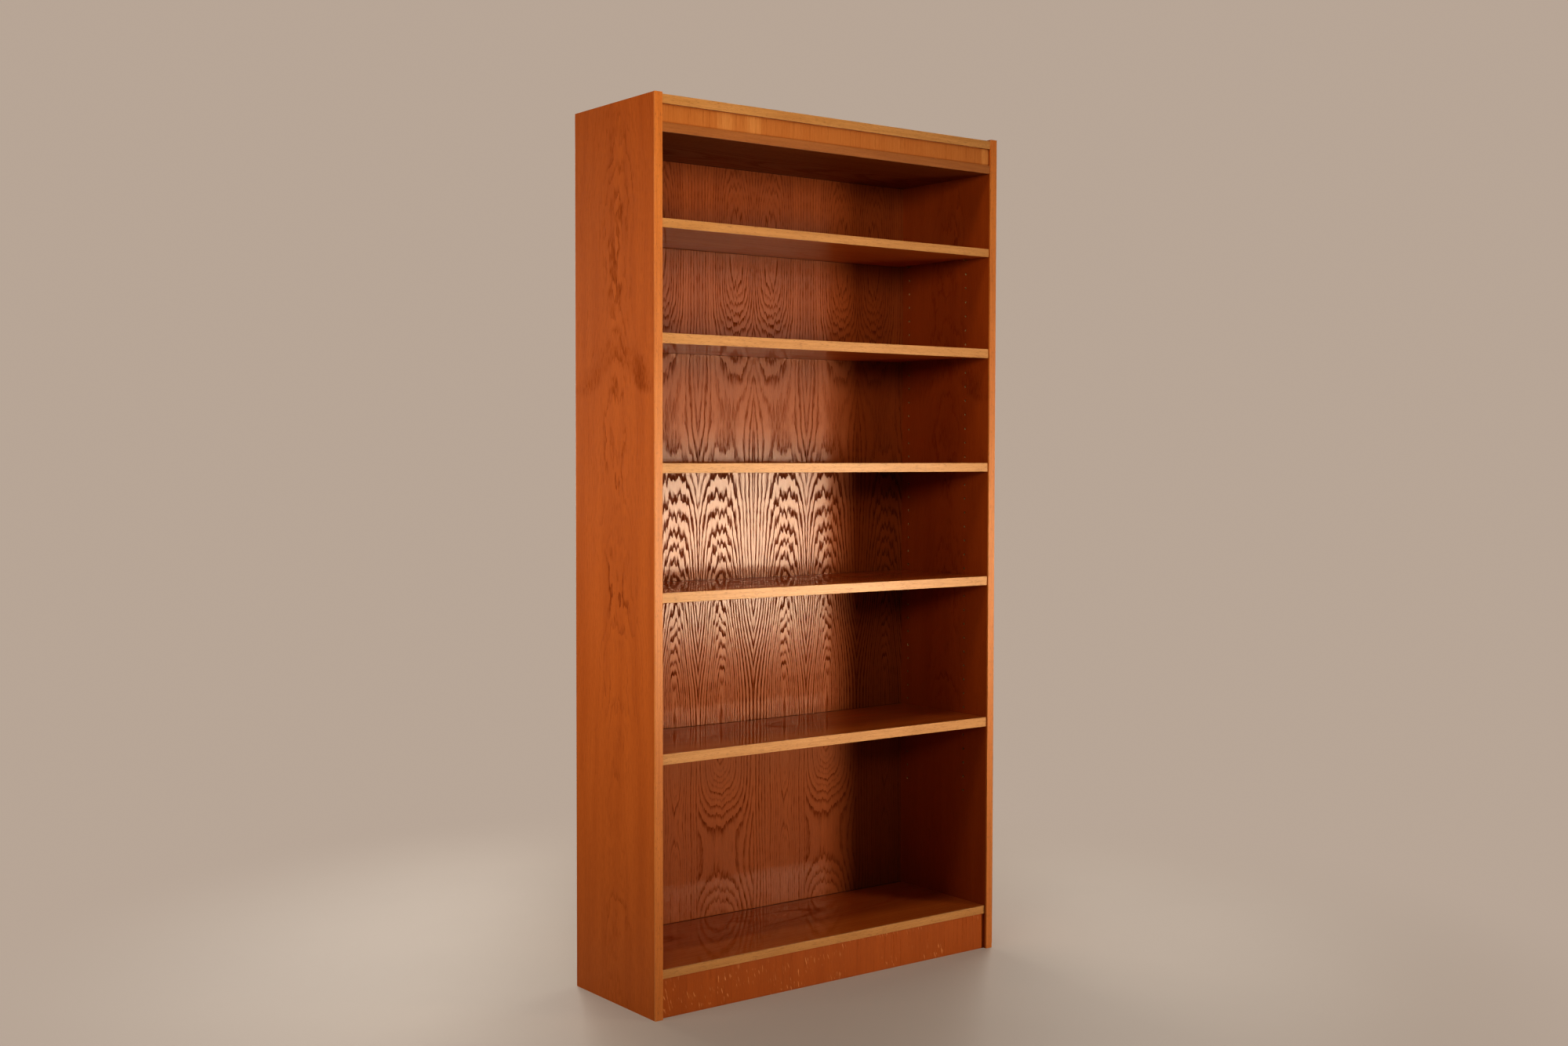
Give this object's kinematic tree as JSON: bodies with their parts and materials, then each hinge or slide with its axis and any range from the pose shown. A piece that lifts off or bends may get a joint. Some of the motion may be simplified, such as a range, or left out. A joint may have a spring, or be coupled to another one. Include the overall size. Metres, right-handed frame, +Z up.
{
  "type": "bookcase",
  "caption": "Tall open bookcase in teak veneer with a boxed cornice, a plinth and a back panel. Its shelves rest on loose pins in columns of holes and slide out forwards.",
  "frame": {"origin": "middle of the footprint, on the floor", "axes": "+Z up, +Y towards the back panel, +X to the right as seen from the front"},
  "size_m": [0.914, 0.304, 1.829],
  "materials": {
    "side_veneer": "oiled teak veneer with upright grain, satin, orange-brown",
    "board_veneer": "lacquered teak veneer with grain along the board, satin",
    "back_veneer": "lacquered teak veneer with strong upright flame figure, satin",
    "solid_lipping": "solid teak edge strip, lighter and golden, satin, lightly worn",
    "front_veneer": "teak veneer with short upright flecks, satin",
    "brass_pin": "turned brass, dulled",
    "beech_dowel": "bare beech",
    "pine_block": "bare sawn pine"
  },
  "bodies": {
    "case": {"left_side_panel": "side_veneer", "left_side_lipping": "solid_lipping", "right_side_panel": "side_veneer", "right_side_lipping": "solid_lipping", "top_panel": "board_veneer", "top_panel_lipping": "solid_lipping", "cornice_fascia": "front_veneer", "cornice_board": "board_veneer", "cornice_board_lipping": "solid_lipping", "bottom_panel": "board_veneer", "bottom_panel_lipping": "solid_lipping", "plinth": "front_veneer", "glue_block_left": "pine_block", "glue_block_right": "pine_block", "back_panel": "back_veneer", "dowel_top_left_front": "beech_dowel", "dowel_top_left_rear": "beech_dowel", "dowel_top_right_front": "beech_dowel", "dowel_top_right_rear": "beech_dowel", "dowel_cornice_left_front": "beech_dowel", "dowel_cornice_left_rear": "beech_dowel", "dowel_cornice_right_front": "beech_dowel", "dowel_cornice_right_rear": "beech_dowel", "dowel_bottom_left_front": "beech_dowel", "dowel_bottom_left_rear": "beech_dowel", "dowel_bottom_right_front": "beech_dowel", "dowel_bottom_right_rear": "beech_dowel", "dowel_plinth_left": "beech_dowel", "dowel_plinth_right": "beech_dowel"},
    "shelf_1_body": {"shelf_1": "board_veneer", "shelf_1_lipping": "solid_lipping"},
    "shelf_2_body": {"shelf_2": "board_veneer", "shelf_2_lipping": "solid_lipping"},
    "shelf_3_body": {"shelf_3": "board_veneer", "shelf_3_lipping": "solid_lipping"},
    "shelf_4_body": {"shelf_4": "board_veneer", "shelf_4_lipping": "solid_lipping"},
    "shelf_5_body": {"shelf_5": "board_veneer", "shelf_5_lipping": "solid_lipping"},
    "shelf_1_pin_left_front_body": {"shelf_1_pin_left_front": "brass_pin"},
    "shelf_1_pin_left_rear_body": {"shelf_1_pin_left_rear": "brass_pin"},
    "shelf_1_pin_right_front_body": {"shelf_1_pin_right_front": "brass_pin"},
    "shelf_1_pin_right_rear_body": {"shelf_1_pin_right_rear": "brass_pin"},
    "shelf_2_pin_left_front_body": {"shelf_2_pin_left_front": "brass_pin"},
    "shelf_2_pin_left_rear_body": {"shelf_2_pin_left_rear": "brass_pin"},
    "shelf_2_pin_right_front_body": {"shelf_2_pin_right_front": "brass_pin"},
    "shelf_2_pin_right_rear_body": {"shelf_2_pin_right_rear": "brass_pin"},
    "shelf_3_pin_left_front_body": {"shelf_3_pin_left_front": "brass_pin"},
    "shelf_3_pin_left_rear_body": {"shelf_3_pin_left_rear": "brass_pin"},
    "shelf_3_pin_right_front_body": {"shelf_3_pin_right_front": "brass_pin"},
    "shelf_3_pin_right_rear_body": {"shelf_3_pin_right_rear": "brass_pin"},
    "shelf_4_pin_left_front_body": {"shelf_4_pin_left_front": "brass_pin"},
    "shelf_4_pin_left_rear_body": {"shelf_4_pin_left_rear": "brass_pin"},
    "shelf_4_pin_right_front_body": {"shelf_4_pin_right_front": "brass_pin"},
    "shelf_4_pin_right_rear_body": {"shelf_4_pin_right_rear": "brass_pin"},
    "shelf_5_pin_left_front_body": {"shelf_5_pin_left_front": "brass_pin"},
    "shelf_5_pin_left_rear_body": {"shelf_5_pin_left_rear": "brass_pin"},
    "shelf_5_pin_right_front_body": {"shelf_5_pin_right_front": "brass_pin"},
    "shelf_5_pin_right_rear_body": {"shelf_5_pin_right_rear": "brass_pin"}
  },
  "joints": [
    {"name": "shelf_1_slide", "type": "slide", "parent": "case", "child": "shelf_1_body", "axis": [0, -1, 0], "range_m": [0, 0.298]},
    {"name": "shelf_2_slide", "type": "slide", "parent": "case", "child": "shelf_2_body", "axis": [0, -1, 0], "range_m": [0, 0.298]},
    {"name": "shelf_3_slide", "type": "slide", "parent": "case", "child": "shelf_3_body", "axis": [0, -1, 0], "range_m": [0, 0.298]},
    {"name": "shelf_4_slide", "type": "slide", "parent": "case", "child": "shelf_4_body", "axis": [0, -1, 0], "range_m": [0, 0.298]},
    {"name": "shelf_5_slide", "type": "slide", "parent": "case", "child": "shelf_5_body", "axis": [0, -1, 0], "range_m": [0, 0.298]},
    {"name": "shelf_1_pin_left_front_pull", "type": "slide", "parent": "case", "child": "shelf_1_pin_left_front_body", "axis": [1, 0, 0], "range_m": [0, 0.01]},
    {"name": "shelf_1_pin_left_rear_pull", "type": "slide", "parent": "case", "child": "shelf_1_pin_left_rear_body", "axis": [1, 0, 0], "range_m": [0, 0.01]},
    {"name": "shelf_1_pin_right_front_pull", "type": "slide", "parent": "case", "child": "shelf_1_pin_right_front_body", "axis": [-1, 0, 0], "range_m": [0, 0.01]},
    {"name": "shelf_1_pin_right_rear_pull", "type": "slide", "parent": "case", "child": "shelf_1_pin_right_rear_body", "axis": [-1, 0, 0], "range_m": [0, 0.01]},
    {"name": "shelf_2_pin_left_front_pull", "type": "slide", "parent": "case", "child": "shelf_2_pin_left_front_body", "axis": [1, 0, 0], "range_m": [0, 0.01]},
    {"name": "shelf_2_pin_left_rear_pull", "type": "slide", "parent": "case", "child": "shelf_2_pin_left_rear_body", "axis": [1, 0, 0], "range_m": [0, 0.01]},
    {"name": "shelf_2_pin_right_front_pull", "type": "slide", "parent": "case", "child": "shelf_2_pin_right_front_body", "axis": [-1, 0, 0], "range_m": [0, 0.01]},
    {"name": "shelf_2_pin_right_rear_pull", "type": "slide", "parent": "case", "child": "shelf_2_pin_right_rear_body", "axis": [-1, 0, 0], "range_m": [0, 0.01]},
    {"name": "shelf_3_pin_left_front_pull", "type": "slide", "parent": "case", "child": "shelf_3_pin_left_front_body", "axis": [1, 0, 0], "range_m": [0, 0.01]},
    {"name": "shelf_3_pin_left_rear_pull", "type": "slide", "parent": "case", "child": "shelf_3_pin_left_rear_body", "axis": [1, 0, 0], "range_m": [0, 0.01]},
    {"name": "shelf_3_pin_right_front_pull", "type": "slide", "parent": "case", "child": "shelf_3_pin_right_front_body", "axis": [-1, 0, 0], "range_m": [0, 0.01]},
    {"name": "shelf_3_pin_right_rear_pull", "type": "slide", "parent": "case", "child": "shelf_3_pin_right_rear_body", "axis": [-1, 0, 0], "range_m": [0, 0.01]},
    {"name": "shelf_4_pin_left_front_pull", "type": "slide", "parent": "case", "child": "shelf_4_pin_left_front_body", "axis": [1, 0, 0], "range_m": [0, 0.01]},
    {"name": "shelf_4_pin_left_rear_pull", "type": "slide", "parent": "case", "child": "shelf_4_pin_left_rear_body", "axis": [1, 0, 0], "range_m": [0, 0.01]},
    {"name": "shelf_4_pin_right_front_pull", "type": "slide", "parent": "case", "child": "shelf_4_pin_right_front_body", "axis": [-1, 0, 0], "range_m": [0, 0.01]},
    {"name": "shelf_4_pin_right_rear_pull", "type": "slide", "parent": "case", "child": "shelf_4_pin_right_rear_body", "axis": [-1, 0, 0], "range_m": [0, 0.01]},
    {"name": "shelf_5_pin_left_front_pull", "type": "slide", "parent": "case", "child": "shelf_5_pin_left_front_body", "axis": [1, 0, 0], "range_m": [0, 0.01]},
    {"name": "shelf_5_pin_left_rear_pull", "type": "slide", "parent": "case", "child": "shelf_5_pin_left_rear_body", "axis": [1, 0, 0], "range_m": [0, 0.01]},
    {"name": "shelf_5_pin_right_front_pull", "type": "slide", "parent": "case", "child": "shelf_5_pin_right_front_body", "axis": [-1, 0, 0], "range_m": [0, 0.01]},
    {"name": "shelf_5_pin_right_rear_pull", "type": "slide", "parent": "case", "child": "shelf_5_pin_right_rear_body", "axis": [-1, 0, 0], "range_m": [0, 0.01]}
  ]
}
